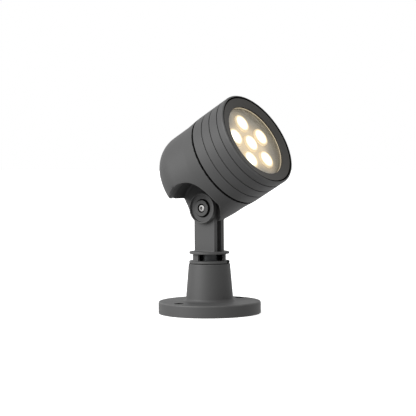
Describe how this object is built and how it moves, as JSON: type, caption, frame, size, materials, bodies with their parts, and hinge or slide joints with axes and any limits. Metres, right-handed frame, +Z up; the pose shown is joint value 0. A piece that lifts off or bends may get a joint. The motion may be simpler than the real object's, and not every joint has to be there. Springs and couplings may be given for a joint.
{
  "type": "outdoor spotlight",
  "caption": "Outdoor LED garden spotlight: round flange base with a tapered pedestal, swivelling forked arm and tilting cylindrical lamp head with dished bezel and glass.",
  "frame": {"origin": "centre of the base's underside, on the swivel axis", "axes": "+Z up along the swivel axis, +X the way the lamp faces, Y along the tilt axis"},
  "size_m": [0.1308, 0.1, 0.2105],
  "materials": {
    "anthracite_coat": "fine matt powder coat on cast aluminium",
    "bezel_coat": "darker matt powder coat",
    "black_rubber": "matt",
    "black_nylon": "matt",
    "zinc_steel": "zinc plated",
    "blackened_steel": "blackened steel",
    "stainless_steel": "bright stainless",
    "bronze_bush": "turned",
    "clear_glass": "clear tempered glass",
    "lens_acrylic": "clear acrylic optic",
    "warm_emitter": "phosphor",
    "holder_plastic": "warm grey, satin",
    "board_white": "white solder mask",
    "spreader_aluminium": "milled",
    "driver_plastic": "potted black case",
    "lead_brown": "wire insulation",
    "lead_blue": "wire insulation"
  },
  "bodies": {
    "base": {"base_casting": "anthracite_coat", "base_seal": "black_rubber", "bearing_ring": "black_nylon"},
    "arm": {"fork_casting": "anthracite_coat", "swivel_stem": "blackened_steel", "stem_washer": "zinc_steel", "stem_nut": "zinc_steel", "brake_pad": "black_rubber", "pivot_cap_near": "anthracite_coat", "pivot_cap_far": "anthracite_coat", "pivot_screw": "stainless_steel", "pivot_nut": "stainless_steel", "friction_washer_near": "zinc_steel", "friction_washer_far": "zinc_steel"},
    "head": {"rear_housing": "anthracite_coat", "pivot_bush": "bronze_bush", "front_barrel": "anthracite_coat", "seam_gasket": "black_rubber", "bezel_ring": "bezel_coat", "front_glass": "clear_glass", "glass_gasket": "black_rubber", "lens_holder": "holder_plastic", "led_lens_1": "lens_acrylic", "led_lens_2": "lens_acrylic", "led_lens_3": "lens_acrylic", "led_lens_4": "lens_acrylic", "led_lens_5": "lens_acrylic", "led_lens_6": "lens_acrylic", "led_chip_1": "warm_emitter", "led_chip_2": "warm_emitter", "led_chip_3": "warm_emitter", "led_chip_4": "warm_emitter", "led_chip_5": "warm_emitter", "led_chip_6": "warm_emitter", "circuit_board": "board_white", "board_screw_1": "stainless_steel", "board_screw_2": "stainless_steel", "board_screw_3": "stainless_steel", "heat_spreader": "spreader_aluminium", "driver_case": "driver_plastic", "lead_live": "lead_brown", "lead_neutral": "lead_blue", "gland_body": "black_nylon", "gland_cap": "black_nylon", "gland_seal": "black_rubber", "gland_locknut": "zinc_steel"}
  },
  "joints": [
    {"name": "swivel", "type": "hinge", "parent": "base", "child": "arm", "pos_m": [0, 0, 0.04905], "axis": [0, 0, 1], "range_deg": [-170, 170]},
    {"name": "tilt", "type": "hinge", "parent": "arm", "child": "head", "pos_m": [0, 0, 0.10265], "axis": [0, -1, 0], "range_deg": [-6, 75]}
  ]
}
